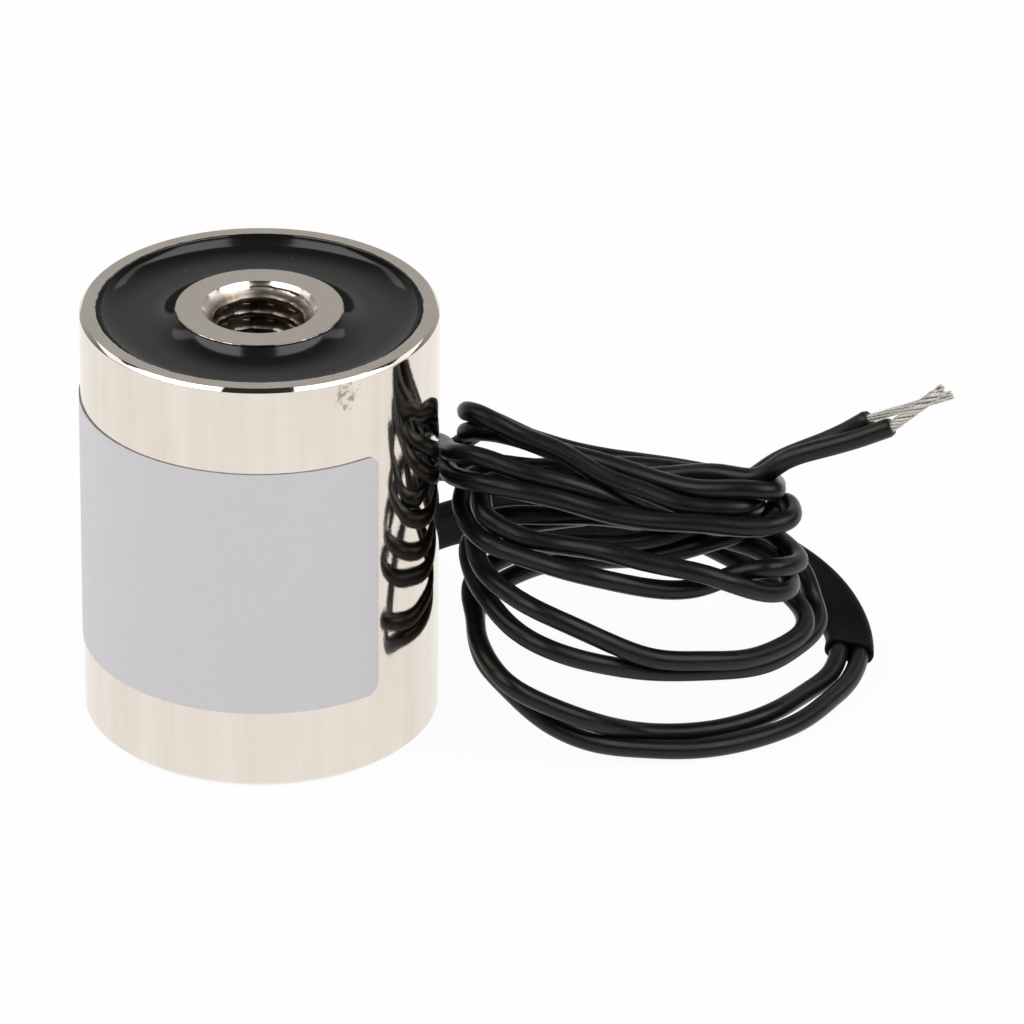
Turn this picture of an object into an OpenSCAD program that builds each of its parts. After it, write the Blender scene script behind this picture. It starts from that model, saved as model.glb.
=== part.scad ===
// Holding electromagnet: a plated steel pot with a tapped centre pole, a potted
// coil and two flying leads. Millimetres, Z up, foot of the pot on Z = 0.

/* [Body] */
// Outside diameter of the steel shell
body_d = 20; // [16:0.5:30]
// Height from the foot to the pole face
body_h = 25; // [20:0.5:40]
// Thickness of the shell's side wall
shell_wall = 1; // [0.8:0.1:1.6]
// Thickness of the closed base
base_t = 3; // [2:0.25:4]
// Rounding of the rim's outer edge
rim_round = 0.45; // [0.2:0.05:0.7]
// Bevel around the foot
foot_bevel = 0.4; // [0.2:0.05:0.8]

/* [Pole core] */
// Diameter of the centre pole
core_d = 9.4; // [8:0.1:11]
// Step between the pole and the spigot pressed into the base
core_shoulder = 0.7; // [0.4:0.1:1]
// Tapping bore for an M6 thread
tap_d = 5; // [4:0.1:5.2]
// Width of the countersink around the bore
countersink_w = 0.7; // [0.3:0.1:0.8]
// Small bevel on the pole's top edge
core_bevel = 0.12; // [0.05:0.01:0.3]

/* [Coil] */
// Clear height under the bobbin for the lead joints
lead_space = 5.2; // [4.6:0.1:7]
// Depth from the pole face to the bobbin's top flange
resin_cover = 1.9; // [1.5:0.1:3]
// Clearance between the pole and the bobbin
bobbin_clear = 0.1; // [0.05:0.05:0.2]
// Wall of the bobbin's tube and flanges
bobbin_wall = 0.6; // [0.4:0.1:0.8]
// Gap from the flanges to the shell
flange_gap = 0.2; // [0.1:0.05:0.4]
// Winding surface below the flange edge
winding_drop = 0.55; // [0.4:0.05:0.8]
// Thickness of the tape around the winding
tape_t = 0.15; // [0.05:0.05:0.25]
// Diameter of the winding's two end wires
tail_d = 0.24; // [0.16:0.02:0.3]

/* [Potting] */
// Depth of the resin's dish below the pole face
dish_depth = 0.9; // [0.6:0.05:1.2]
// Drop from the pole face to the resin's edges
resin_edge = 0.25; // [0.15:0.05:0.4]

/* [Lead outlet] */
// Height of the outlet above the foot
outlet_z = 6; // [5:0.1:6.5]
// Bearing of the outlet, from +X towards +Y
outlet_angle = 45; // [30:1:60]
// Diameter of the outlet in the shell
outlet_d = 3.2; // [3:0.1:3.6]
// Width of the resin bead around the hole
bead_w = 0.35; // [0.2:0.05:0.6]
// Length of the resin bead along the sleeve
bead_l = 1.2; // [0.6:0.1:2]

/* [Leads] */
// Outside diameter of each lead
lead_d = 1.1; // [0.9:0.05:1.2]
// Clear room between lead and sleeve
sleeve_clear = 0.05; // [0.03:0.01:0.08]
// Wall of the shrunk sleeve
sleeve_wall = 0.18; // [0.12:0.02:0.3]
// Diameter of the soldered joints inside
joint_d = 0.8; // [0.6:0.05:1]

/* [Label] */
// Height of the label's lower edge
label_z = 4.8; // [2:0.1:8]
// Height of the label
label_h = 15; // [8:0.5:18]
// Length of the label around the shell
label_w = 30; // [15:0.5:45]
// Bearing of the label's right-hand end, from the front
label_right = 42; // [20:1:80]
// Radius of the label's corners
label_corner = 0.8; // [0.4:0.1:2]
// Thickness of the label
label_t = 0.08; // [0.05:0.01:0.2]

/* [Hidden] */
$fn = 96;

// extra length of a cutting tool past the surface it opens
over = 1;

// shell and pole
body_r = body_d / 2;
room_r = body_r - shell_wall;
core_r = core_d / 2;
spigot_r = core_r - core_shoulder;
tap_r = tap_d / 2;

// coil
bobbin_z0 = base_t + lead_space;
bobbin_z1 = body_h - resin_cover;
tube_in_r = core_r + bobbin_clear;
tube_out_r = tube_in_r + bobbin_wall;
flange_r = room_r - flange_gap;
coil_z0 = bobbin_z0 + bobbin_wall;
coil_h = bobbin_z1 - bobbin_z0 - 2 * bobbin_wall;
winding_r = flange_r - winding_drop;
tape_r = winding_r + tape_t;

// dish of the resin: a ring-shaped scoop that meets both steel walls
dish_mid_r = (core_r + room_r) / 2;
dish_half = (room_r - core_r) / 2;
dish_sag = dish_depth - resin_edge;
dish_r = (dish_half * dish_half + dish_sag * dish_sag) / (2 * dish_sag);

// leads at the outlet, one above the other
lead_r = lead_d / 2;
lead_pitch = lead_d + 2 * sleeve_clear;
sleeve_in_r = lead_r + sleeve_clear;
sleeve_out_r = sleeve_in_r + sleeve_wall;
slot_r = sleeve_out_r + 0.05;
bead_foot_r = outlet_d / 2 + bead_w;
bead_tip_r = lead_pitch / 2 + sleeve_out_r + 0.1;
lead_end_r = room_r - 1.4;
sleeve_end_r = room_r - 0.6;
tail_1_r = tube_out_r + 0.4;
tail_2_r = tube_out_r + 1.2;

// where the leads leave the shell, given a distance from the axis
function outlet_pair(r) = [
  for (side = [-1, 1])
    [r * cos(outlet_angle), r * sin(outlet_angle), outlet_z + side * lead_pitch / 2]
];

// the way of the two leads past the outlet: a point of each, side by side
loose_route = [
  // lying in the sleeve, from the outlet round the back
  [[10.6, 10.4, 5.3], [10.6, 10.4, 6.5]],
  [[13.4, 12.1, 4.9], [13.4, 12.1, 6.1]],
  [[17, 13.5, 4.1], [17, 13.5, 5.3]],
  [[20.6, 14.3, 3.6], [20.6, 14.3, 4.8]],
  [[24.2, 14.4, 3.5], [24.2, 14.3, 4.7]],
  [[27.8, 13.4, 2.8], [27.8, 13.2, 4]],
  [[30.3, 11, 1.9], [31.2, 11.3, 2.8]],
  [[32.1, 8.4, 1.4], [33.2, 8.6, 1.9]],
  [[32.8, 6.4, 1.1], [33.9, 6.5, 1.3]],
  [[32.8, 4.3, 1.1], [34, 4.5, 0.9]],
  // bottom loop, along the front to the left
  [[32.2, 2.1, 0.8], [33.3, 1.7, 0.6]],
  [[31, 0.4, 0.7], [32.2, -0.4, 0.6]],
  [[29, -2.5, 1], [30.2, -3.2, 0.6]],
  [[26.9, -3.9, 0.9], [27.6, -5.1, 0.6]],
  [[24.3, -5, 1], [24.5, -6.2, 0.6]],
  [[21.4, -5.7, 1.4], [21.4, -6.7, 0.9]],
  [[18.6, -7.2, 2.9], [18.5, -7, 1.5]],
  [[16.1, -7.5, 4.1], [15.9, -6.5, 2.6]],
  [[13.7, -7, 5.4], [13.8, -5.2, 4]],
  [[12.3, -3.7, 6], [12.5, -3.5, 4.9]],
  [[12, -1.3, 6.5], [12.1, 0.1, 5.5]],
  [[11.9, 0.8, 7.3], [12.7, 1.9, 6.1]],
  // up through the middle, to the right
  [[13.2, 1.4, 8.3], [14.4, 2, 7.2]],
  [[16, 0.5, 9.8], [16.8, 0.9, 8.6]],
  [[18.9, -0.2, 10.4], [19.5, 0, 9.3]],
  [[21.9, -0.7, 11], [22.7, -0.7, 10]],
  [[24.4, -0.8, 11.9], [25.4, -0.9, 11]],
  [[26.1, -0.5, 12.4], [27.8, 0.2, 11.6]],
  [[27.1, -0.9, 12.5], [29.2, -0.2, 13.1]],
  // upper loop, along the front to the left
  [[27.6, -1.8, 12.7], [29.7, -1.8, 13.5]],
  [[27, -2.7, 13], [29.4, -3.4, 13.7]],
  [[25.8, -2.5, 12.8], [28, -4, 13.6]],
  [[24.2, -1.8, 12.7], [25, -4.1, 13.8]],
  [[21.9, -1.6, 13], [22, -3.8, 13.8]],
  [[19.1, -2, 14.4], [19.1, -3.2, 14]],
  [[16.9, -2.2, 15.3], [16.9, -3, 14.6]],
  [[14.7, -1.9, 15.8], [14.7, -2.7, 15]],
  [[12.4, -0.8, 16.1], [12.4, -1.6, 14.9]],
  [[10.6, 1.8, 15.1], [10.6, 1.8, 13.7]],
  [[9.8, 5.2, 13.9], [9.8, 5, 12.8]],
  [[8.3, 7.8, 12.4], [8.5, 7.3, 11.3]],
  // round the back, to the right
  [[10, 9.4, 11], [10.2, 8.6, 10.2]],
  [[12.4, 8.6, 12.9], [12.6, 6.6, 11.8]],
  [[15.2, 7.6, 12.9], [15.3, 5, 12.4]],
  [[17.7, 7.4, 12.2], [17.7, 4.8, 12.6]],
  [[21.1, 6.6, 12], [21.1, 4, 13.1]],
  [[24.4, 5.4, 12.1], [24.2, 3.4, 13]],
  [[27.2, 3.2, 12.7], [26.6, 2, 13]],
  [[28.7, 1.2, 13.6], [27.5, 0.6, 13.2]],
  // top loop, along the front to the left
  [[28.8, -1, 14.5], [27.7, -1.2, 13.6]],
  [[28.5, -2.6, 15.1], [27.1, -2.9, 14.2]],
  [[27, -2.8, 15.3], [25.6, -3.2, 14.3]],
  [[24.4, -2.4, 15.1], [23.4, -3.1, 14.5]],
  [[21.9, -1.4, 15.2], [21.5, -2.4, 14.9]],
  [[19.1, -0.3, 15.6], [19, -1.6, 15.5]],
  [[16.7, 0.6, 15.8], [16.6, -0.6, 16.5]],
  [[14.6, 1.3, 16.2], [14.4, 0.1, 17.1]],
  [[12.6, 1.9, 16.4], [12.4, 0.8, 17.9]],
  [[11.5, 3.2, 15.6], [11.5, 2.5, 17.3]],
  // down the back, to the right
  [[12.7, 4.2, 15.1], [12.6, 5.5, 15.3]],
  [[15.3, 3.6, 14.7], [15, 6.4, 13.6]],
  [[17.6, 3.2, 13.5], [17.9, 6.2, 12.2]],
  [[20.3, 3.8, 10.7], [20.7, 5.2, 11.1]],
  [[22.8, 2.8, 9.8], [23.3, 3.6, 10.5]],
  [[25.1, 2.2, 9], [25.8, 3.1, 9.7]],
  [[27.4, 1.8, 7.9], [28.2, 2.8, 8.6]],
  [[29.2, 1.2, 7], [30.4, 2.5, 7.5]],
  // second loop, along the front to the left
  [[30.4, 0.2, 6.2], [31.1, 1.9, 6]],
  [[30.6, -1.5, 5.9], [31.4, 0.4, 5.2]],
  [[29.5, -3.2, 5.7], [30.1, -1.9, 4.8]],
  [[27.4, -5.2, 5.9], [28.1, -4, 4.8]],
  [[24.8, -6.6, 6.5], [25.2, -5.6, 5.3]],
  [[21.9, -7.2, 7], [21.9, -6.4, 5.7]],
  [[19.7, -7.1, 7.8], [19.7, -7.3, 6.5]],
  [[17.4, -7, 8.9], [17.4, -7.7, 7.3]],
  [[15.5, -6.5, 9.6], [15.5, -7.1, 7.8]],
  [[13.9, -5.1, 9.9], [13.9, -5.2, 8]],
  [[12.6, -2.7, 9.9], [12.7, -2.8, 8.3]],
  [[12, 0, 10.1], [11.8, 0.2, 8.6]],
  [[12.2, 1.4, 10.7], [11.8, 2, 9.4]],
  // round the back, to the right
  [[13.6, 1.8, 11], [13, 2.6, 9.7]],
  [[15.8, 1.6, 11.2], [15.4, 2.6, 10.2]],
  [[18.5, 1.4, 11.3], [18.3, 2.5, 10.7]],
  [[21.5, 1.1, 11.1], [21.3, 2.2, 11.4]],
  [[24.2, 0.8, 10.7], [24.4, 1.6, 11.6]],
  [[26.8, 0.4, 10.2], [27.2, 1.3, 11.1]],
  [[28.9, -0.7, 9.7], [28.9, 0.8, 10.4]],
  // third loop, along the front to the left
  [[29.7, -2, 9.1], [29.8, -0.8, 10.4]],
  [[29.4, -3.7, 9.4], [30.1, -2.5, 10.6]],
  [[27.9, -5.1, 10.1], [28.5, -4.4, 11.2]],
  [[26.3, -5.8, 11], [26.7, -4.3, 10.8]],
  [[24.8, -5.9, 11.6], [24.9, -4.8, 10.3]],
  [[21.9, -5.6, 12.1], [21.9, -5.4, 10.4]],
  [[19.1, -5, 12.5], [19.1, -6, 11.3]],
  [[16.8, -4.1, 12.4], [16.8, -5.6, 11.7]],
  [[14.6, -3.7, 12.7], [14.7, -4.6, 11.9]],
  [[12.8, -2.4, 13.1], [12.8, -3.4, 12.1]],
  [[12.4, -0.9, 13.4], [11.5, -0.4, 12]],
  [[12.6, 0.8, 13.6], [11.3, 1.5, 12.5]],
  [[13.7, 1, 13.7], [11.8, 2.8, 12.9]],
  // up and out to the free end
  [[15.4, 0.8, 13.7], [13.6, 2.5, 13.6]],
  [[17.7, 0.9, 13.4], [16.6, 1.8, 14.1]],
  [[20.5, 0.6, 13.2], [20.1, 1.7, 13.7]],
  [[23.2, 0, 13.6], [23.2, 1.1, 14.1]],
  [[25.6, 0, 13.7], [25.8, -0.2, 14.9]],
  [[27.3, 0.2, 14.3], [27.7, -1.1, 15.2]],
  [[28.7, 0, 15.5], [29.1, -1.4, 16.3]],
  [[30.6, -0.4, 16.7], [31.1, -1.7, 17.3]],
  [[32.4, -0.8, 17.8], [33.2, -2.1, 18.2]],
  [[33.9, -1.2, 19], [35.1, -2.5, 19.2]]
];

// the whole way, from the joints inside to the free ends
route = concat(
  [outlet_pair(lead_end_r), outlet_pair(sleeve_end_r), outlet_pair(body_r + 1.9)],
  loose_route
);
sleeve_last = 12;

// where the bare strands of each lead end
strand_tips = [[38.5, -0.9, 20.4], [37.9, -2.7, 21.7]];

function unit(v) = v / norm(v);
function lead_way(i) = [for (pair = route) pair[i]];
function first(list, last) = [for (i = [1:last]) list[i]];

// direction of a route at each of its points
function headings(p) = [
  for (i = [0:len(p) - 1])
    unit(p[min(i + 1, len(p) - 1)] - p[max(i - 1, 0)])
];

// part of v square to the direction t
function square_to(v, t) = unit(v - (v * t) * t);

// a side direction carried along the route without twisting
function carried(t, v) = [
  for (i = 0, s = square_to(v, t[0]); i < len(t);
       i = i + 1, s = i < len(t) ? square_to(s, t[i]) : s)
    s
];

// ring of m points around c, square to the direction t
function ring(c, t, s, r, m) = [
  for (k = [0:m - 1])
    c + r * (cos(360 * k / m) * s + sin(360 * k / m) * cross(t, s))
];

// ring of an oval around two side by side leads a and b
function oval(a, b, t, r, m) = let (s = square_to(b - a, t), h = norm(b - a) / 2, w = cross(t, s)) [
  for (k = [0:2 * m - 1])
    let (turn = 180 * (k < m ? k : k - 1) / (m - 1) - 90, far = k < m ? h : -h)
      (a + b) / 2 + far * s + r * (cos(turn) * s + sin(turn) * w)
];

// faces of the side between rings of m points, start to end
function side_faces(rings, m, from) = [
  for (i = [0:rings - 2], k = [0:m - 1], half = [0, 1])
    let (a = from + i * m + k, b = from + i * m + (k + 1) % m)
      half == 0 ? [a, a + m, b + m] : [a, b + m, b]
];

function turned(faces) = [for (f = faces) [f[0], f[2], f[1]]];

// solid tube along a route
module tube(p, r, sides) {
  t = headings(p);
  s = carried(t, [0, 0, 1]);
  n = len(p);
  rings = [for (i = [0:n - 1]) each ring(p[i], t[i], s[i], r, sides)];
  start = [[for (k = [0:sides - 1]) k]];
  end = [[for (k = [sides - 1:-1:0]) (n - 1) * sides + k]];
  polyhedron(points = rings, faces = concat(start, side_faces(n, sides, 0), end));
}

// hollow oval tube around the pair of leads
module oval_tube(a, b, r_in, r_out, m) {
  t = headings((a + b) / 2);
  n = len(a);
  q = 2 * m;
  outside = [for (i = [0:n - 1]) each oval(a[i], b[i], t[i], r_out, m)];
  inside = [for (i = [0:n - 1]) each oval(a[i], b[i], t[i], r_in, m)];
  o = 0;
  w = n * q;
  last = (n - 1) * q;
  start = [for (k = [0:q - 1], half = [0, 1]) let (j = (k + 1) % q) half == 0 ? [k, j, w + j] : [k, w + j, w + k]];
  end = [
    for (f = start)
      [for (v = f) v + last]
  ];
  polyhedron(
    points = concat(outside, inside),
    faces = concat(side_faces(n, q, o), turned(side_faces(n, q, w)), start, turned(end))
  );
}

// places what points up so that it starts at p and points along v
module along(p, v) {
  translate(p)
    rotate([0, acos(v[2] / norm(v)), atan2(v[1], v[0])])
      children();
}

// ring between two radii
module pipe(r_in, r_out, z, h) {
  translate([0, 0, z])
    difference() {
      cylinder(r = r_out, h = h);
      translate([0, 0, -over])
        cylinder(r = r_in, h = h + 2 * over);
    }
}

// round bar that points out of the shell at the outlet's bearing
module outlet_bar(r, r_from, r_to, z) {
  rotate([0, 0, outlet_angle])
    translate([r_from, 0, z])
      rotate([0, 90, 0])
        cylinder(r = r, h = r_to - r_from);
}

// rounded slot through which the two leads and the sleeve pass
module outlet_slot(r, r_from, r_to) {
  outlet_bar(r, r_from, r_to, outlet_z + lead_pitch / 2);
  outlet_bar(r, r_from, r_to, outlet_z - lead_pitch / 2);
  rotate([0, 0, outlet_angle])
    translate([r_from, -r, outlet_z - lead_pitch / 2])
      cube([r_to - r_from, 2 * r, lead_pitch]);
}

// upright wire from a joint up to the winding
module tail(r_at, z, r, top) {
  rotate([0, 0, outlet_angle])
    translate([r_at, 0, z])
      cylinder(r = r, h = top - z);
}

// 2D half section of the shell's outside
module shell_section() {
  translate([0, foot_bevel])
    square([body_r, body_h - foot_bevel - rim_round]);
  polygon([[0, 0], [body_r - foot_bevel, 0], [body_r, foot_bevel], [body_r, body_h / 2], [0, body_h / 2]]);
  translate([0, body_h / 2])
    square([body_r - rim_round, body_h / 2]);
  translate([body_r - rim_round, body_h - rim_round])
    circle(r = rim_round);
}

module shell() {
  color([0.83, 0.79, 0.74])
    difference() {
      rotate_extrude()
        shell_section();
      translate([0, 0, base_t])
        cylinder(r = room_r, h = body_h);
      translate([0, 0, -over])
        cylinder(r = spigot_r, h = base_t + 2 * over);
      outlet_bar(outlet_d / 2, core_r, body_r + over, outlet_z);
    }
}

module core() {
  mouth_r = tap_r + countersink_w;
  color([0.72, 0.69, 0.65])
    difference() {
      union() {
        cylinder(r = spigot_r, h = base_t + over);
        translate([0, 0, base_t])
          cylinder(r = core_r, h = body_h - base_t - core_bevel);
        translate([0, 0, body_h - core_bevel])
          cylinder(r1 = core_r, r2 = core_r - core_bevel, h = core_bevel);
      }
      translate([0, 0, -over])
        cylinder(r = tap_r, h = body_h + 2 * over);
      translate([0, 0, body_h - countersink_w])
        cylinder(r1 = tap_r, r2 = mouth_r + over, h = countersink_w + over);
      translate([0, 0, -over])
        cylinder(r1 = mouth_r + over, r2 = tap_r, h = countersink_w + over);
    }
}

module bobbin() {
  slot_w = 4 * tail_d;
  color([0.92, 0.9, 0.84])
    difference() {
      union() {
        pipe(tube_in_r, tube_out_r, bobbin_z0, bobbin_z1 - bobbin_z0);
        pipe(tube_in_r, flange_r, bobbin_z0, bobbin_wall);
        pipe(tube_in_r, flange_r, bobbin_z1 - bobbin_wall, bobbin_wall);
      }
      rotate([0, 0, outlet_angle])
        translate([tube_out_r, -slot_w / 2, bobbin_z0 - over])
          cube([body_r, slot_w, bobbin_wall + over]);
    }
}

module winding() {
  color([0.72, 0.4, 0.2]) {
    pipe(tube_out_r, winding_r, coil_z0, coil_h);
    tail(tail_1_r, outlet_z - lead_pitch / 2, tail_d / 2, coil_z0 + coil_h / 2);
    tail(tail_2_r, outlet_z + lead_pitch / 2, tail_d / 2, coil_z0 + coil_h / 2);
  }
}

module tape() {
  color([0.85, 0.72, 0.25])
    pipe(winding_r, tape_r, coil_z0, coil_h);
}

// bead of resin around the sleeve, outside the shell
module outlet_bead() {
  slope = (bead_foot_r - bead_tip_r) / bead_l;
  difference() {
    rotate([0, 0, outlet_angle])
      translate([room_r, 0, outlet_z])
        rotate([0, 90, 0])
          cylinder(r1 = bead_foot_r + slope * shell_wall, r2 = bead_tip_r, h = shell_wall + bead_l);
    cylinder(r = body_r, h = body_h);
  }
}

module potting() {
  color([0.09, 0.09, 0.09])
    difference() {
      union() {
        pipe(core_r, room_r, base_t, body_h - resin_edge - base_t);
        outlet_bar(outlet_d / 2, core_r + shell_wall, body_r + bead_l / 4, outlet_z);
        outlet_bead();
      }
      pipe(core_r - over, tape_r, bobbin_z0, bobbin_z1 - bobbin_z0);
      pipe(core_r - over, flange_r, bobbin_z0, bobbin_wall);
      pipe(core_r - over, flange_r, bobbin_z1 - bobbin_wall, bobbin_wall);
      translate([0, 0, body_h - resin_edge + dish_r - dish_sag])
        rotate_extrude()
          translate([dish_mid_r, 0])
            circle(r = dish_r);
      outlet_slot(slot_r, tail_1_r - joint_d / 2, body_r + bead_l + over);
      tail(tail_1_r, outlet_z - lead_pitch / 2, tail_d / 2 + 0.03, bobbin_z0 + over);
      tail(tail_2_r, outlet_z, tail_d / 2 + 0.03, bobbin_z0 + over);
    }
}

// block that planes one corner of the label, seen from outside along a radius
module label_plane(bearing, z, turn) {
  size = 4 * label_corner;
  rotate([0, 0, bearing])
    translate([body_r, 0, z])
      rotate([turn, 0, 0])
        translate([-over, label_corner, -size / 2])
          cube([2 * over, size, size]);
}

module label() {
  end = label_right - 90;
  span = label_w / body_r * 180 / PI;
  corner = label_corner / body_r * 180 / PI;
  low = label_z + label_corner;
  high = label_z + label_h - label_corner;
  color([0.84, 0.83, 0.86])
    difference() {
      rotate([0, 0, end - span])
        rotate_extrude(angle = span)
          translate([body_r, label_z])
            square([label_t, label_h]);
      for (turn = [30, 60]) {
        label_plane(end - corner, high, turn);
        label_plane(end - corner, low, -turn);
        label_plane(end - span + corner, high, 180 - turn);
        label_plane(end - span + corner, low, turn - 180);
      }
    }
}

// soldered joint between a lead and the winding's end wire
module joint(r_at, z) {
  difference() {
    outlet_bar(joint_d / 2, r_at - joint_d / 2, lead_end_r, z);
    tail(r_at, z, tail_d / 2, z + joint_d);
  }
}

module joint_1() {
  color([0.75, 0.75, 0.76])
    joint(tail_1_r, outlet_z - lead_pitch / 2);
}

module joint_2() {
  color([0.75, 0.75, 0.76])
    joint(tail_2_r, outlet_z + lead_pitch / 2);
}

module sleeve() {
  color([0.1, 0.1, 0.1])
    oval_tube(first(lead_way(0), sleeve_last), first(lead_way(1), sleeve_last), sleeve_in_r, sleeve_out_r, 6);
}

module lead_1() {
  color([0.13, 0.13, 0.12])
    tube(lead_way(0), lead_r, 8);
}

module lead_2() {
  color([0.13, 0.13, 0.12])
    tube(lead_way(1), lead_r, 8);
}

// seven twisted bare wires, from the end of a lead to its tip
module strands(i) {
  end = route[len(route) - 1][i];
  bare = strand_tips[i] - end;
  wire_r = lead_r * 0.24;
  color([0.8, 0.8, 0.79])
    along(end, bare)
      linear_extrude(height = norm(bare), twist = -240, slices = 12, $fn = 8) {
        circle(r = wire_r, $fn = 8);
        for (k = [0:5])
          rotate(60 * k)
            translate([1.7 * wire_r, 0])
              circle(r = wire_r, $fn = 8);
      }
}

module strands_1() {
  strands(0);
}

module strands_2() {
  strands(1);
}

shell();
core();
bobbin();
winding();
tape();
potting();
label();
joint_1();
joint_2();
sleeve();
lead_1();
lead_2();
strands_1();
strands_2();
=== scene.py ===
# %% [markdown]
# A holding electromagnet: a nickel-plated steel pot with a tapped centre pole,
# a dished ring of black resin, a pale label and two black flying leads. The packed
# model fixes every size, so it is loaded first and its box is kept. All new pieces
# are then made in the same frame, in metres, and each one stands for a node of it.

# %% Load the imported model
import math
import bpy
import numpy as np
from mathutils import Matrix


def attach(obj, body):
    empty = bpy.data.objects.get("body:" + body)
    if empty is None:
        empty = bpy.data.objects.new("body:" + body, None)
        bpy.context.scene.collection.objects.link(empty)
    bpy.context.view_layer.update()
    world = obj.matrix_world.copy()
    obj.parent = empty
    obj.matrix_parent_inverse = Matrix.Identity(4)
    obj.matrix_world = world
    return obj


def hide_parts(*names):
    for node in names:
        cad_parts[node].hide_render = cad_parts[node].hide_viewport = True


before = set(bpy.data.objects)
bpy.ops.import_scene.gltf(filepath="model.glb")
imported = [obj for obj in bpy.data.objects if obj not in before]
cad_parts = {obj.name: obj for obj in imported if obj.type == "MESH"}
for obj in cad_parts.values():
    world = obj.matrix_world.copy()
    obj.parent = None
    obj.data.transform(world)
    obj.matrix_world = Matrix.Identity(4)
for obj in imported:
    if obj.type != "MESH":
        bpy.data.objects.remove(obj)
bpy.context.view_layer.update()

MM = 0.001

# %% [markdown]
# The camera comes first. Its place and tilt were fitted to the rims, the pole and the foot of the pot.
# A long lens far away gives the flat look of a product shot. The focal length is
# worked out in pixels of a square image and turned into millimetres of sensor.

# %% The camera
IMAGE_PX = 1024
FOCAL_PX = 8853.2
SENSOR = 36.0
pitch, roll = 0.494056, 0.0091
eye = np.array([14.0835, -436.85, 247.535]) * MM
ahead = np.array([0, math.cos(pitch), -math.sin(pitch)])
level = np.array([1.0, 0, 0])
above = np.array([0, math.sin(pitch), math.cos(pitch)])
side = math.cos(roll) * level + math.sin(roll) * above
up = math.cos(roll) * above - math.sin(roll) * level

camera_data = bpy.data.cameras.new("camera")
camera_data.sensor_width = SENSOR
camera_data.lens = FOCAL_PX / IMAGE_PX * SENSOR
camera_data.clip_start = 0.01
camera = bpy.data.objects.new("camera", camera_data)
turn = np.eye(4)
turn[:3, :3] = np.stack([side, up, -ahead], axis=1)
turn[:3, 3] = eye
camera.matrix_world = Matrix(turn.tolist())
bpy.context.scene.collection.objects.link(camera)
bpy.context.scene.camera = camera
bpy.context.scene.view_settings.view_transform = "Standard"
print("lens, mm:", round(camera_data.lens, 1))

# %% [markdown]
# A mesh is a table of points and a table of faces. Nearly every piece here is a grid
# of points, so one function lists the four-cornered faces of a grid, and another puts
# points and faces into a mesh, shades it smooth, keeps edges sharper than a given
# angle, and can store a flat map of the surface in millimetres for its material.

# %% Grids and pieces
def grid_faces(rows, cols, loop_rows=False, loop_cols=True):
    """Faces of a grid: corner (i, j), its next in the row, both in the next row, turned to face outwards."""
    i = np.arange(rows if loop_rows else rows - 1)[:, None]
    j = np.arange(cols if loop_cols else cols - 1)[None, :]
    i2, j2 = (i + 1) % rows, (j + 1) % cols
    return np.stack([i * cols + j, i * cols + j2, i2 * cols + j2, i2 * cols + j], axis=-1).reshape(-1, 4)


def make_piece(name, points, faces, caps=(), sharp_deg=40, flat_map=None):
    """Puts points and faces into a mesh object that sits at the origin and rides the one body."""
    mesh = bpy.data.meshes.new(name)
    mesh.from_pydata(np.asarray(points).tolist(), [], np.asarray(faces).tolist() + [list(c) for c in caps])
    if flat_map is not None:
        full = np.zeros((len(mesh.loops), 2), np.float32)
        full[: len(flat_map)] = flat_map
        mesh.uv_layers.new(name="surface_mm").data.foreach_set("uv", full.ravel())
    mesh.shade_smooth()
    mesh.set_sharp_from_angle(angle=math.radians(sharp_deg))
    piece = bpy.data.objects.new(name, mesh)
    bpy.context.scene.collection.objects.link(piece)
    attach(piece, "root")
    print(name, len(mesh.vertices), "points,", len(mesh.polygons), "faces")
    return piece

# %% [markdown]
# The leads are the hardest thing to place: two soft wires that lie side by side in
# loose loops. Each pair of points below is one station on both leads, in the order in
# which they run: out of the pot in their sleeve, round the back, through the loops
# and up to the free end. They are the points of the part's source.

# %% Stations of the two leads
OUTLET_TURN, OUTLET_Z, LEAD_PITCH = math.radians(45), 6.0, 1.2


def outlet_station(r):
    """A point of each lead straight out of the pot: radius r on the outlet's bearing, half a pitch down and up."""
    x, y = r * math.cos(OUTLET_TURN), r * math.sin(OUTLET_TURN)
    return [[x, y, OUTLET_Z - LEAD_PITCH / 2], [x, y, OUTLET_Z + LEAD_PITCH / 2]]


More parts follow.
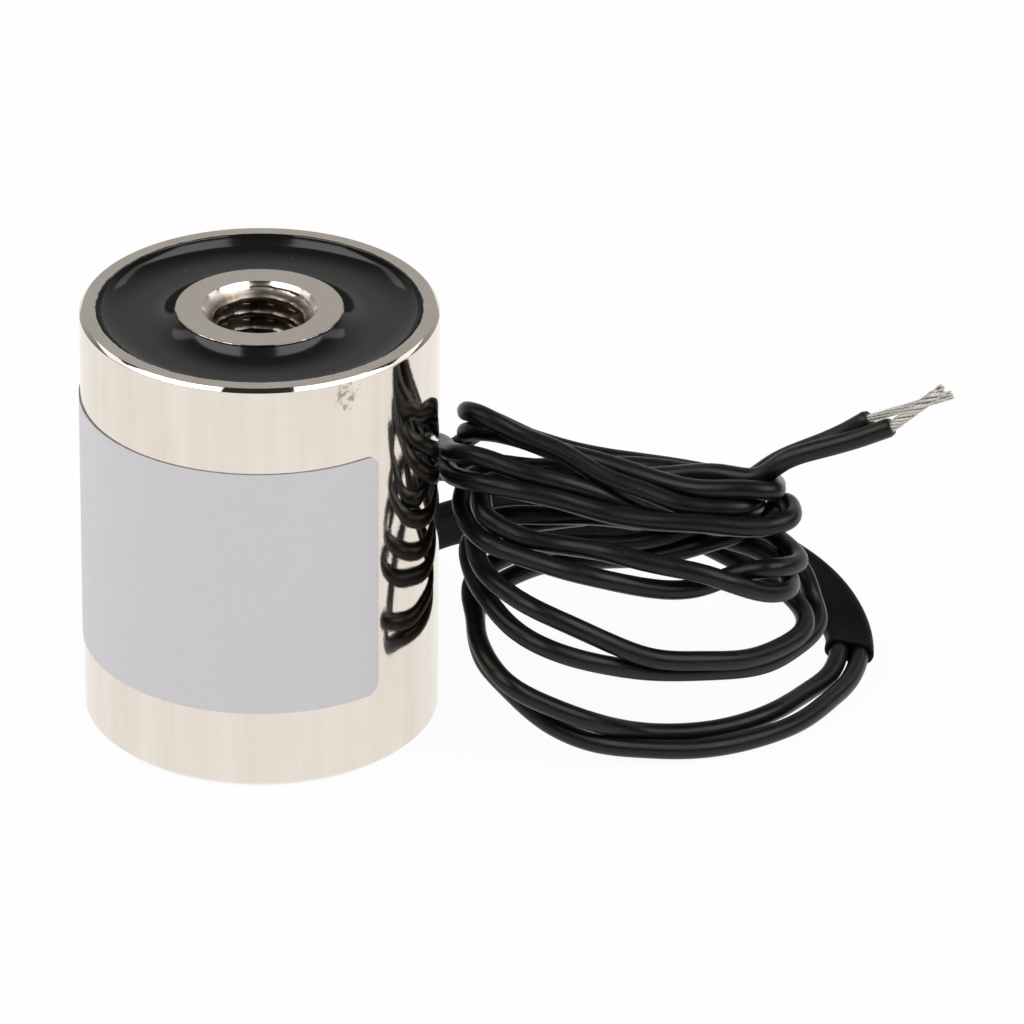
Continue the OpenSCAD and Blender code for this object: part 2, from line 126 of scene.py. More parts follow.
JOINT_R, SLEEVE_R, STRAIGHT_R = 7.6, 8.4, 11.9
stations_mm = [outlet_station(r) for r in (JOINT_R, SLEEVE_R, STRAIGHT_R)] + [
  # lying in the sleeve, from the outlet round the back
  [[10.6, 10.4, 5.3], [10.6, 10.4, 6.5]],
  [[13.4, 12.1, 4.9], [13.4, 12.1, 6.1]],
  [[17, 13.5, 4.1], [17, 13.5, 5.3]],
  [[20.6, 14.3, 3.6], [20.6, 14.3, 4.8]],
  [[24.2, 14.4, 3.5], [24.2, 14.3, 4.7]],
  [[27.8, 13.4, 2.8], [27.8, 13.2, 4]],
  [[30.3, 11, 1.9], [31.2, 11.3, 2.8]],
  [[32.1, 8.4, 1.4], [33.2, 8.6, 1.9]],
  [[32.8, 6.4, 1.1], [33.9, 6.5, 1.3]],
  [[32.8, 4.3, 1.1], [34, 4.5, 0.9]],
  # bottom loop, along the front to the left
  [[32.2, 2.1, 0.8], [33.3, 1.7, 0.6]],
  [[31, 0.4, 0.7], [32.2, -0.4, 0.6]],
  [[29, -2.5, 1], [30.2, -3.2, 0.6]],
  [[26.9, -3.9, 0.9], [27.6, -5.1, 0.6]],
  [[24.3, -5, 1], [24.5, -6.2, 0.6]],
  [[21.4, -5.7, 1.4], [21.4, -6.7, 0.9]],
  [[18.6, -7.2, 2.9], [18.5, -7, 1.5]],
  [[16.1, -7.5, 4.1], [15.9, -6.5, 2.6]],
  [[13.7, -7, 5.4], [13.8, -5.2, 4]],
  [[12.3, -3.7, 6], [12.5, -3.5, 4.9]],
  [[12, -1.3, 6.5], [12.1, 0.1, 5.5]],
  [[11.9, 0.8, 7.3], [12.7, 1.9, 6.1]],
  # up through the middle, to the right
  [[13.2, 1.4, 8.3], [14.4, 2, 7.2]],
  [[16, 0.5, 9.8], [16.8, 0.9, 8.6]],
  [[18.9, -0.2, 10.4], [19.5, 0, 9.3]],
  [[21.9, -0.7, 11], [22.7, -0.7, 10]],
  [[24.4, -0.8, 11.9], [25.4, -0.9, 11]],
  [[26.1, -0.5, 12.4], [27.8, 0.2, 11.6]],
  [[27.1, -0.9, 12.5], [29.2, -0.2, 13.1]],
  # upper loop, along the front to the left
  [[27.6, -1.8, 12.7], [29.7, -1.8, 13.5]],
  [[27, -2.7, 13], [29.4, -3.4, 13.7]],
  [[25.8, -2.5, 12.8], [28, -4, 13.6]],
  [[24.2, -1.8, 12.7], [25, -4.1, 13.8]],
  [[21.9, -1.6, 13], [22, -3.8, 13.8]],
  [[19.1, -2, 14.4], [19.1, -3.2, 14]],
  [[16.9, -2.2, 15.3], [16.9, -3, 14.6]],
  [[14.7, -1.9, 15.8], [14.7, -2.7, 15]],
  [[12.4, -0.8, 16.1], [12.4, -1.6, 14.9]],
  [[10.6, 1.8, 15.1], [10.6, 1.8, 13.7]],
  [[9.8, 5.2, 13.9], [9.8, 5, 12.8]],
  [[8.3, 7.8, 12.4], [8.5, 7.3, 11.3]],
  # round the back, to the right
  [[10, 9.4, 11], [10.2, 8.6, 10.2]],
  [[12.4, 8.6, 12.9], [12.6, 6.6, 11.8]],
  [[15.2, 7.6, 12.9], [15.3, 5, 12.4]],
  [[17.7, 7.4, 12.2], [17.7, 4.8, 12.6]],
  [[21.1, 6.6, 12], [21.1, 4, 13.1]],
  [[24.4, 5.4, 12.1], [24.2, 3.4, 13]],
  [[27.2, 3.2, 12.7], [26.6, 2, 13]],
  [[28.7, 1.2, 13.6], [27.5, 0.6, 13.2]],
  # top loop, along the front to the left
  [[28.8, -1, 14.5], [27.7, -1.2, 13.6]],
  [[28.5, -2.6, 15.1], [27.1, -2.9, 14.2]],
  [[27, -2.8, 15.3], [25.6, -3.2, 14.3]],
  [[24.4, -2.4, 15.1], [23.4, -3.1, 14.5]],
  [[21.9, -1.4, 15.2], [21.5, -2.4, 14.9]],
  [[19.1, -0.3, 15.6], [19, -1.6, 15.5]],
  [[16.7, 0.6, 15.8], [16.6, -0.6, 16.5]],
  [[14.6, 1.3, 16.2], [14.4, 0.1, 17.1]],
  [[12.6, 1.9, 16.4], [12.4, 0.8, 17.9]],
  [[11.5, 3.2, 15.6], [11.5, 2.5, 17.3]],
  # down the back, to the right
  [[12.7, 4.2, 15.1], [12.6, 5.5, 15.3]],
  [[15.3, 3.6, 14.7], [15, 6.4, 13.6]],
  [[17.6, 3.2, 13.5], [17.9, 6.2, 12.2]],
  [[20.3, 3.8, 10.7], [20.7, 5.2, 11.1]],
  [[22.8, 2.8, 9.8], [23.3, 3.6, 10.5]],
  [[25.1, 2.2, 9], [25.8, 3.1, 9.7]],
  [[27.4, 1.8, 7.9], [28.2, 2.8, 8.6]],
  [[29.2, 1.2, 7], [30.4, 2.5, 7.5]],
  # second loop, along the front to the left
  [[30.4, 0.2, 6.2], [31.1, 1.9, 6]],
  [[30.6, -1.5, 5.9], [31.4, 0.4, 5.2]],
  [[29.5, -3.2, 5.7], [30.1, -1.9, 4.8]],
  [[27.4, -5.2, 5.9], [28.1, -4, 4.8]],
  [[24.8, -6.6, 6.5], [25.2, -5.6, 5.3]],
  [[21.9, -7.2, 7], [21.9, -6.4, 5.7]],
  [[19.7, -7.1, 7.8], [19.7, -7.3, 6.5]],
  [[17.4, -7, 8.9], [17.4, -7.7, 7.3]],
  [[15.5, -6.5, 9.6], [15.5, -7.1, 7.8]],
  [[13.9, -5.1, 9.9], [13.9, -5.2, 8]],
  [[12.6, -2.7, 9.9], [12.7, -2.8, 8.3]],
  [[12, 0, 10.1], [11.8, 0.2, 8.6]],
  [[12.2, 1.4, 10.7], [11.8, 2, 9.4]],
  # round the back, to the right
  [[13.6, 1.8, 11], [13, 2.6, 9.7]],
  [[15.8, 1.6, 11.2], [15.4, 2.6, 10.2]],
  [[18.5, 1.4, 11.3], [18.3, 2.5, 10.7]],
  [[21.5, 1.1, 11.1], [21.3, 2.2, 11.4]],
  [[24.2, 0.8, 10.7], [24.4, 1.6, 11.6]],
  [[26.8, 0.4, 10.2], [27.2, 1.3, 11.1]],
  [[28.9, -0.7, 9.7], [28.9, 0.8, 10.4]],
  # third loop, along the front to the left
  [[29.7, -2, 9.1], [29.8, -0.8, 10.4]],
  [[29.4, -3.7, 9.4], [30.1, -2.5, 10.6]],
  [[27.9, -5.1, 10.1], [28.5, -4.4, 11.2]],
  [[26.3, -5.8, 11], [26.7, -4.3, 10.8]],
  [[24.8, -5.9, 11.6], [24.9, -4.8, 10.3]],
  [[21.9, -5.6, 12.1], [21.9, -5.4, 10.4]],
  [[19.1, -5, 12.5], [19.1, -6, 11.3]],
  [[16.8, -4.1, 12.4], [16.8, -5.6, 11.7]],
  [[14.6, -3.7, 12.7], [14.7, -4.6, 11.9]],
  [[12.8, -2.4, 13.1], [12.8, -3.4, 12.1]],
  [[12.4, -0.9, 13.4], [11.5, -0.4, 12]],
  [[12.6, 0.8, 13.6], [11.3, 1.5, 12.5]],
  [[13.7, 1, 13.7], [11.8, 2.8, 12.9]],
  # up and out to the free end
  [[15.4, 0.8, 13.7], [13.6, 2.5, 13.6]],
  [[17.7, 0.9, 13.4], [16.6, 1.8, 14.1]],
  [[20.5, 0.6, 13.2], [20.1, 1.7, 13.7]],
  [[23.2, 0, 13.6], [23.2, 1.1, 14.1]],
  [[25.6, 0, 13.7], [25.8, -0.2, 14.9]],
  [[27.3, 0.2, 14.3], [27.7, -1.1, 15.2]],
  [[28.7, 0, 15.5], [29.1, -1.4, 16.3]],
  [[30.6, -0.4, 16.7], [31.1, -1.7, 17.3]],
  [[32.4, -0.8, 17.8], [33.2, -2.1, 18.2]],
  [[33.9, -1.2, 19], [35.1, -2.5, 19.2]]
]
stations = np.array(stations_mm) * MM
print("stations:", len(stations))

# %% [markdown]
# Real wire never bends at a point, so a smooth curve goes through the stations. A
# natural cubic spline does that: each stretch is a cubic, and neighbours share slope
# and bend where they meet. Both leads use the same parameter, the distance along the
# line half-way between them, so equal parameters stay side by side.

# %% Smooth paths
def spline(points, at, wanted):
    """Natural cubic spline: solves for the bend at each point, then mixes the two ends of each stretch."""
    h = np.diff(at)
    n = len(at)
    system, right = np.zeros((n, n)), np.zeros((n, 3))
    system[0, 0] = system[-1, -1] = 1
    i = np.arange(1, n - 1)
    system[i, i - 1], system[i, i], system[i, i + 1] = h[:-1], 2 * (h[:-1] + h[1:]), h[1:]
    slope = np.diff(points, axis=0) / h[:, None]
    right[1:-1] = 6 * np.diff(slope, axis=0)
    bend = np.linalg.solve(system, right)
    k = np.clip(np.searchsorted(at, wanted, side="right") - 1, 0, n - 2)
    a, b, w = (at[k + 1] - wanted)[:, None], (wanted - at[k])[:, None], h[k][:, None]
    curve = (bend[k] * a**3 + bend[k + 1] * b**3) / (6 * w)
    return curve + (points[k] / w - bend[k] * w / 6) * a + (points[k + 1] / w - bend[k + 1] * w / 6) * b


def unit(v):
    """Vectors divided by their own length."""
    return v / np.linalg.norm(v, axis=-1, keepdims=True)


def tangents(path):
    """Direction of a path at each point, from its neighbours."""
    return unit(np.gradient(path, axis=0))


def square_to(v, t):
    """The part of v that is square to the direction t, as a unit vector."""
    return unit(v - np.sum(v * t, axis=-1, keepdims=True) * t)


def travelled(path):
    """Distance from the start of a path to each of its points."""
    return np.concatenate([[0], np.cumsum(np.linalg.norm(np.diff(path, axis=0), axis=1))])


RINGS = 1300
at = travelled(stations.mean(axis=1))
fine = np.linspace(0, at[-1], RINGS)
lead_paths = [spline(stations[:, k], at, fine) for k in (0, 1)]

# %% [markdown]
# A lead is a circle carried along its path. At each ring the circle needs two
# directions square to the path. The direction to the other lead is always at hand and
# never lies along the path, so it serves as the first, and the cross product gives
# the second. The two ends narrow a little, as insulation does where it is cut.

# %% The two leads
LEAD_D = 1.1 * MM
LEAD_SIDES = 24


def carried(path, across, x, y):
    """An outline carried along a path: centre + x * across + y * (tangent x across), one row for each ring."""
    t = tangents(path)
    first = square_to(across, t)
    second = np.cross(t, first)
    return path[:, None] + x[..., None] * first[:, None] + y[..., None] * second[:, None]


def tube_map(path, sides, girth):
    """Flat map of a tube, a corner at a time: millimetres along the path, and millimetres around it."""
    s = travelled(path) / MM
    i, j = np.meshgrid(np.arange(len(path) - 1), np.arange(sides), indexing="ij")
    u = np.stack([s[i], s[i], s[i + 1], s[i + 1]], axis=-1)
    v = np.stack([j, j + 1, j + 1, j], axis=-1) * girth / MM / sides
    return np.stack([u, v], axis=-1).reshape(-1, 2)


def make_tube(name, path, across, radius, sides):
    """A round tube with flat ends; radius is one number for each ring."""
    a = np.arange(sides) / sides * 2 * np.pi
    rows = carried(path, across, radius[:, None] * np.cos(a), radius[:, None] * np.sin(a))
    first, last = np.arange(sides)[::-1], np.arange(sides) + (len(path) - 1) * sides
    return make_piece(name, rows.reshape(-1, 3), grid_faces(len(path), sides), [first, last],
                      flat_map=tube_map(path, sides, 2 * np.pi * radius.max()))


pair = lead_paths[1] - lead_paths[0]
from_end = np.minimum(fine, fine[-1] - fine)
cut_edge, cut_share = 0.08 * MM, 0.3
lead_radius = LEAD_D / 2 * np.sqrt(1 - cut_share * np.clip(1 - from_end / cut_edge, 0, 1) ** 2)
leads = [make_tube("lead_%d_skin" % (k + 1), lead_paths[k], pair, lead_radius, LEAD_SIDES) for k in (0, 1)]
for k, lead in enumerate(leads):
    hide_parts("lead_%d" % (k + 1))

# %% [markdown]
# The sleeve is a heat-shrunk tube that holds both leads where they leave the pot. It
# shrinks onto them, so its outline is an oval with a shallow waist between two ridges.
# It is hollow: an outer wall, a lip, and an inner wall back again, in one closed grid.
# It starts at one numbered station of the leads, inside the pot, and ends at another.

# %% The sleeve
SLEEVE_SIDES = 48
SLEEVE_OUT, SLEEVE_IN = 0.78 * MM, 0.6 * MM
LIP, LIP_RUN = 0.03 * MM, 0.5 * MM
SLEEVE_FROM, SLEEVE_TO = 1, 12
sleeve_run = (fine >= at[SLEEVE_FROM]) & (fine <= at[SLEEVE_TO])
sleeve_path = np.mean(lead_paths, axis=0)[sleeve_run]
sleeve_pair = pair[sleeve_run]
sleeve_half = np.linalg.norm(sleeve_pair, axis=1)[:, None] / 2


def oval(a, half, radius):
    """Oval round two circles: x = radius cos a + half * a softened sign of cos a, y = radius sin a less a waist."""
    soft, waist = 0.28, 0.16
    x = radius * np.cos(a) + half * np.cos(a) * np.sqrt((1 + soft**2) / (np.cos(a) ** 2 + soft**2))
    return x, radius * np.sin(a) * (1 - waist * np.sin(a) ** 6)


def sleeve_wall(radius):
    """One wall of the sleeve, widened over its last stretch by lip * exp(-(distance to the end / run)^2)."""
    a = np.arange(SLEEVE_SIDES) / SLEEVE_SIDES * 2 * np.pi
    left = travelled(sleeve_path)[-1] - travelled(sleeve_path)
    grown = radius + LIP * np.exp(-((left / LIP_RUN) ** 2))[:, None]
    return carried(sleeve_path, sleeve_pair, *oval(a, sleeve_half, grown))


sleeve_rows = np.concatenate([sleeve_wall(SLEEVE_OUT), sleeve_wall(SLEEVE_IN)[::-1]])
sleeve = make_piece("sleeve_skin", sleeve_rows.reshape(-1, 3),
                    grid_faces(len(sleeve_rows), SLEEVE_SIDES, loop_rows=True))
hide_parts("sleeve")

# %% [markdown]
# Each lead ends in bare tinned strands. A strand is a thin tube along a helix round the
# line from the lead's end to its tip. The first lead's strands lie nearly straight and
# fan out a little. The second lead's were twisted by hand into a tighter, thicker rope.

# %% Bare strands
strand_tips = np.array([[38.5, -0.9, 20.4], [37.9, -2.7, 21.7]]) * MM
STRAND_SIDES, STRAND_RINGS = 6, 70
SUNK = 0.15


def strand_path(start, tip, ring_r, turn, turns, spread):
    """Helix about the line from start to tip: a point of the line + ring radius * (cos, sin) of a growing angle."""
    d = np.linspace(-SUNK, 1, STRAND_RINGS)
    first = square_to(np.array([0, 0, 1.0]), unit(tip - start))
    second = np.cross(unit(tip - start), first)
    r = ring_r * (1 + spread * np.clip(d, 0, 1) ** 3)
    a = turn + 2 * np.pi * turns * d
    aside = np.cos(a)[:, None] * first + np.sin(a)[:, None] * second
    return start + (tip - start) * d[:, None] + r[:, None] * aside


def make_strands(name, start, tip, strand_r, turns, spread):
    """Eleven strands in one mesh: three at the heart, eight around them, each a tube with closed ends."""
    heart, around = 3, 8
    ring_r = np.concatenate([np.full(heart, 1.1), np.full(around, 2.75)]) * strand_r
    begin = np.concatenate([np.arange(heart) / heart, np.arange(around) / around + 0.06]) * 2 * np.pi
    loose = spread * np.array([0.1, 0.4, 0.2, 0.1, 0.8, 0.2, 0.5, 0.1, 0.7, 0.3, 1.0])
    reach = np.array([1.0, 0.96, 0.98, 0.93, 1.0, 0.97, 0.9, 0.99, 0.95, 1.0, 0.92])
    ring, last = np.arange(STRAND_SIDES), (STRAND_RINGS - 1) * STRAND_SIDES
    a = ring / STRAND_SIDES * 2 * np.pi
    x, y = (np.tile(strand_r * part, (STRAND_RINGS, 1)) for part in (np.cos(a), np.sin(a)))
    upright = np.tile([0, 0, 1.0], (STRAND_RINGS, 1))
    points, faces, caps = [], [], []
    for r, turn, wide, share in zip(ring_r, begin, loose, reach):
        line = strand_path(start, start + share * (tip - start), r, turn, turns, wide)
        base = sum(len(p) for p in points)
        points.append(carried(line, upright, x, y).reshape(-1, 3))
        faces.append(grid_faces(STRAND_RINGS, STRAND_SIDES) + base)
        caps += [base + ring[::-1], base + ring + last]
    return make_piece(name, np.concatenate(points), np.concatenate(faces), caps, sharp_deg=70)


strands = [make_strands("strands_1_twist", lead_paths[0][-1], strand_tips[0], 0.065 * MM, 0.35, 0.5),
           make_strands("strands_2_twist", lead_paths[1][-1], strand_tips[1], 0.085 * MM, 1.2, 0.1)]
for k, twist in enumerate(strands):
    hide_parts("strands_%d" % (k + 1))
bare_ends = [np.linalg.norm(strand_tips[k] - lead_paths[k][-1]) / MM for k in (0, 1)]
print("bare ends, mm:", np.round(bare_ends, 1).tolist())

# %% [markdown]

BODY_R = 10.0
print("cords declared:", len(leads))

# %% [markdown]
# The pot is turned and drawn steel. Its section is a closed outline of radius and
# height, turned about the axis. Straight stretches get two extra points near their
# ends, so that smooth shading stays flat on the flats and bends only in the roundings.

# %% Turned pieces
COLUMNS = 192
BODY_H, ROOM_R, BASE_T = 25.0, 9.0, 3.0
CORE_R, SPIGOT_R, TAP_R, SINK = 4.7, 4.0, 2.5, 0.7
GUARD = 0.06


def turned(profile, columns=COLUMNS):
    """Section points (r, z) in millimetres, turned about Z: (r cos t, r sin t, z) at each bearing t."""
    t = np.arange(columns) / columns * 2 * np.pi
    r, z = np.asarray(profile, float).T[:, :, None] * MM
    return np.stack([r * np.cos(t), r * np.sin(t), z + 0 * t], axis=-1)


def arc(r, z, radius, start, end, count):
    """Points of an arc about (r, z), from one angle to the other in degrees."""
    a = np.radians(np.linspace(start, end, count))
    return np.stack([r + radius * np.cos(a), z + radius * np.sin(a)], axis=1)


def guarded(profile):
    """The outline with two more points in each stretch, a small gap from its ends, at most 0.3 of its length."""
    p = np.asarray(profile, float)
    step = np.roll(p, -1, axis=0) - p
    share = np.minimum(0.3, GUARD / np.maximum(np.linalg.norm(step, axis=1), 1e-9))[:, None]
    return np.stack([p, p + share * step, p + (1 - share) * step], axis=1).reshape(-1, 2)

# %% [markdown]
# The outlet is a round hole through the pot's wall. Both walls have a window of their
# grid taken out, and rings of points lead from the window's edge to the hole, through
# the wall, and out again to the window of the inner wall, so the pot stays one closed
# surface and its grid stays even, which a bright plated wall needs. The rim's outer edge
# is a small chamfer with soft corners, which catches the light as a thin crescent.

# %% The pot
OUTLET_R, OUTLET_EDGE, FINE_GUARD = 1.6, 0.1, 0.05
WINDOW_HALF, WINDOW_STEPS, HALF_COLS = 2.4, 8, 8
window_z = OUTLET_Z + np.linspace(-WINDOW_HALF, WINDOW_HALF, WINDOW_STEPS + 1)
rim_round, rim_soft, foot_bevel, inner_bevel = 0.23, 0.07, 0.4, 0.08
wall_top = BODY_H - rim_round
low_wall = np.array([[BODY_R, foot_bevel], [BODY_R, foot_bevel + GUARD], [BODY_R, 2.0]])
outer_window = np.stack([0 * window_z + BODY_R, window_z], axis=1)
high_wall = np.array([[BODY_R, 12.0], [BODY_R, 18.0], [BODY_R, wall_top - GUARD]])
rim = np.concatenate([arc(BODY_R - rim_soft, wall_top, rim_soft, 0, 40, 5),
                      arc(BODY_R - rim_round, BODY_H - rim_soft, rim_soft, 50, 90, 5)])
inner_lip = np.array([[BODY_R - rim_round - GUARD, BODY_H], [ROOM_R + inner_bevel + FINE_GUARD, BODY_H],
                      [ROOM_R + inner_bevel, BODY_H], [ROOM_R, BODY_H - inner_bevel],
                      [ROOM_R, BODY_H - inner_bevel - FINE_GUARD]])
inner_window = np.stack([0 * window_z + ROOM_R, window_z[::-1]], axis=1)
floor_in = guarded([[ROOM_R, BASE_T], [SPIGOT_R, BASE_T], [SPIGOT_R, 0], [BODY_R - foot_bevel, 0]])[:-2]
pot_profile = np.concatenate([low_wall, outer_window, high_wall, rim, inner_lip, inner_window, floor_in])
outer_0 = len(low_wall)
inner_0 = outer_0 + len(outer_window) + len(high_wall) + len(rim) + len(inner_lip)

hole_col = round(OUTLET_TURN / (2 * math.pi) * COLUMNS)
col_0, col_1 = hole_col - HALF_COLS, hole_col + HALF_COLS
rows_up, cols_right = np.arange(WINDOW_STEPS), np.arange(2 * HALF_COLS)
loop_row = np.concatenate([0 * cols_right, rows_up, 0 * cols_right + WINDOW_STEPS, WINDOW_STEPS - rows_up])
loop_col = np.concatenate([col_0 + cols_right, 0 * rows_up + col_1, col_1 - cols_right, 0 * rows_up + col_0])


def window_ring(radius, hole_r, w):
    """Ring on a wall of the given radius: the window's edge for w = 0, the hole for w = 1, else a mix of the two."""
    s = radius * (loop_col * 2 * np.pi / COLUMNS - OUTLET_TURN)
    h = window_z[loop_row] - OUTLET_Z
    a = np.arctan2(h, s)
    s2, h2 = radius * np.arcsin(hole_r * np.cos(a) / radius), hole_r * np.sin(a)
    t = OUTLET_TURN + ((1 - w) * s + w * s2) / radius
    return np.stack([radius * np.cos(t), radius * np.sin(t), OUTLET_Z + (1 - w) * h + w * h2], axis=-1) * MM


pot_grid = turned(pot_profile)
rows = len(pot_profile)
face_row, face_col = np.divmod(np.arange(rows * COLUMNS), COLUMNS)
in_rows = [(face_row >= row) & (face_row < row + WINDOW_STEPS) for row in (outer_0, inner_0)]
in_window = (face_col >= col_0) & (face_col < col_1) & (in_rows[0] | in_rows[1])
pot_faces = grid_faces(rows, COLUMNS, loop_rows=True)[~in_window]

through = (BODY_R - OUTLET_EDGE, BODY_R - OUTLET_EDGE - FINE_GUARD, ROOM_R + FINE_GUARD)
hole_rings = [window_ring(BODY_R, OUTLET_R + OUTLET_EDGE, w) for w in (0.4, 0.75, 0.92, 1)]
hole_rings += [window_ring(r, OUTLET_R, 1) for r in through]
hole_rings += [window_ring(ROOM_R, OUTLET_R, w) for w in (1, 0.92, 0.7, 0.4)]
ring_size = len(loop_row)
ring_index = rows * COLUMNS + np.arange(len(hole_rings) * ring_size).reshape(-1, ring_size)
outer_edge = (outer_0 + loop_row) * COLUMNS + loop_col
inner_edge = (inner_0 + WINDOW_STEPS - loop_row) * COLUMNS + loop_col
chain = np.concatenate([outer_edge[None], ring_index, inner_edge[None]])
hole_faces = chain.ravel()[grid_faces(len(chain), ring_size)]
pot = make_piece("pot", np.concatenate([pot_grid.reshape(-1, 3), np.concatenate(hole_rings)]),
                 np.concatenate([pot_faces, hole_faces]), sharp_deg=50)
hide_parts("shell")

# %% [markdown]
# The centre pole is a turned bar with a countersunk M6 thread through it. The thread
# is a wall whose radius rises and falls with height, shifted by one pitch for each
# turn: a flat crest at the bore, straight flanks, and a narrow root. The countersink is
# a cone, and the wall is whichever of thread and cone lies further out.

# %% The pole with its thread
THREAD_PITCH, THREAD_DEPTH, CREST, FLANKS = 1.0, 0.5, 0.25, 0.625
POLE_COLUMNS, ROWS_PER_PITCH = 128, 14
pole_bevel = 0.03
pole_outside = guarded([[SPIGOT_R, 0], [SPIGOT_R, BASE_T], [CORE_R, BASE_T], [CORE_R, BODY_H - pole_bevel],
                        [CORE_R - pole_bevel, BODY_H], [TAP_R + SINK, BODY_H]])[:-2]
rows_z = np.arange(BODY_H - 0.08, 0.07, -THREAD_PITCH / ROWS_PER_PITCH)
wall_z = np.concatenate([[BODY_H - 0.02], rows_z, [0.02, 0.0]])


def thread_wall(z, t):
    """Radius of the threaded wall at height z and bearing t: thread or countersink, whichever is wider."""
    phase = (z / THREAD_PITCH - t / (2 * np.pi)) % 1
    rise = np.clip((1 - np.abs(2 * phase - 1) - CREST) / FLANKS, 0, 1)
    sink = np.maximum(z - (BODY_H - SINK), SINK - z)
    return np.maximum(TAP_R + THREAD_DEPTH * rise, TAP_R + sink)


bearing = np.arange(POLE_COLUMNS) / POLE_COLUMNS * 2 * np.pi
wall_r = thread_wall(wall_z[:, None], bearing[None, :])
wall = np.stack([wall_r * np.cos(bearing), wall_r * np.sin(bearing), wall_z[:, None] + 0 * wall_r], axis=-1) * MM
pole_rows = np.concatenate([turned(pole_outside, POLE_COLUMNS), wall])
pole = make_piece("pole", pole_rows.reshape(-1, 3),
                  grid_faces(len(pole_rows), POLE_COLUMNS, loop_rows=True), sharp_deg=35)
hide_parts("core")

# %% [markdown]
# The resin was poured in and crept up the steel as it set. Its top is a shallow dish
# between rim and pole, with a meniscus that is steep at the pot's wall and gentler at the
# pole. A plug of the same resin fills the outlet and ends in a bead that climbs a little
# way along the sleeve.

# %% The resin
RESIN_EDGE, DISH, RESIN_FOOT, RESIN_MID = 0.25, 0.9, BASE_T + 0.1, 20.0
POT_CLIMB, POT_REACH, POLE_CLIMB, POLE_REACH = 0.2, 0.13, 0.13, 0.5
span = np.linspace(0, 1, 61)
across = span * (ROOM_R - CORE_R)
hollow = RESIN_EDGE + (DISH - RESIN_EDGE) * (1 - np.abs(2 * span - 1) ** 3)
creep = POT_CLIMB * np.exp(-across / POT_REACH) + POLE_CLIMB * np.exp(-across[::-1] / POLE_REACH)
surface = np.stack([ROOM_R - across, BODY_H - hollow + creep], axis=1)
resin_profile = np.concatenate([[[CORE_R, RESIN_FOOT], [ROOM_R, RESIN_FOOT], [ROOM_R, RESIN_MID]], surface,
                                [[CORE_R, RESIN_MID]]])
resin_grid = turned(resin_profile)


def plug_ring(r, x, y):
    """Ring round the outlet's axis, at distances r from the pot's axis: x up, y sideways, in millimetres."""
    c, s = math.cos(OUTLET_TURN), math.sin(OUTLET_TURN)
    return np.stack([r * c - y * s, r * s + y * c, OUTLET_Z + x], axis=-1) * MM


BEAD_FOOT, BEAD_L, BEAD_RINGS = 1.95, 1.2, 8
PLUG_SIDES, PLUG_FROM, SLOT_R, CLEAR = 48, 9.2, 0.8, 0.01
a = np.arange(PLUG_SIDES) / PLUG_SIDES * 2 * np.pi
hole_x, hole_y = (OUTLET_R - CLEAR) * np.cos(a), (OUTLET_R - CLEAR) * np.sin(a)
foot_x, foot_y = BEAD_FOOT * np.cos(a), BEAD_FOOT * np.sin(a)
slot_x, slot_y = oval(a, LEAD_PITCH / 2, SLOT_R)
on_wall = np.sqrt(BODY_R**2 - foot_y**2)
plug = [plug_ring(PLUG_FROM, hole_x, hole_y), plug_ring(np.sqrt(BODY_R**2 - hole_y**2) + CLEAR, hole_x, hole_y)]
for climb in np.linspace(0, 1, BEAD_RINGS):
    close = 0.95 * (1 - (1 - climb) ** 1.6)
    plug.append(plug_ring(on_wall + climb * (BODY_R + BEAD_L - on_wall), (1 - close) * foot_x + close * slot_x,
                          (1 - close) * foot_y + close * slot_y))
plug += [plug_ring(BODY_R + BEAD_L - 0.1, slot_x, slot_y), plug_ring(PLUG_FROM, slot_x, slot_y)]
resin_faces = grid_faces(len(resin_profile), COLUMNS, loop_rows=True)
plug_faces = grid_faces(len(plug), PLUG_SIDES, loop_rows=True)[:, ::-1] + len(resin_profile) * COLUMNS
resin = make_piece("resin", np.concatenate([resin_grid.reshape(-1, 3), np.concatenate(plug)]),
                   np.concatenate([resin_faces, plug_faces]), sharp_deg=60)
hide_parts("potting")

# %% [markdown]
# The label is a strip of pale film stuck round the pot. It is a grid of bearing and
# height whose height shrinks towards both ends along a circle, which rounds the corners.
# A thin strip shows its cut edge as a dark line, so the edge is its own material.

# %% The label
LABEL_Z, LABEL_H, LABEL_W, LABEL_T, CORNER = 4.8, 15.0, 30.0, 0.08, 0.8
LABEL_ROWS = 9
LABEL_LOOP = 2 * LABEL_ROWS
FRONT_DEG, LABEL_RIGHT_DEG = -90, 42
label_end = math.radians(FRONT_DEG + LABEL_RIGHT_DEG)
swing = np.radians(np.linspace(0, 90, 10))
half_w = LABEL_W / 2 - CORNER
right_end = half_w + CORNER * np.sin(swing)
strip = np.concatenate([-right_end[::-1], np.linspace(-half_w, half_w, 121)[1:-1], right_end])
tall = LABEL_H / 2 - CORNER + np.sqrt(np.maximum(CORNER**2 - np.maximum(np.abs(strip) - half_w, 0) ** 2, 0))
v = np.linspace(1, -1, LABEL_ROWS)
loop_v = np.concatenate([v, v[::-1]])
loop_r = np.repeat([BODY_R + LABEL_T, BODY_R], LABEL_ROWS)
label_turn = (label_end - (LABEL_W / 2 - strip) / BODY_R)[:, None]
label_points = np.stack([loop_r * np.cos(label_turn), loop_r * np.sin(label_turn),
                         LABEL_Z + LABEL_H / 2 + loop_v * tall[:, None]], axis=-1) * MM
label_faces = grid_faces(len(strip), LABEL_LOOP)
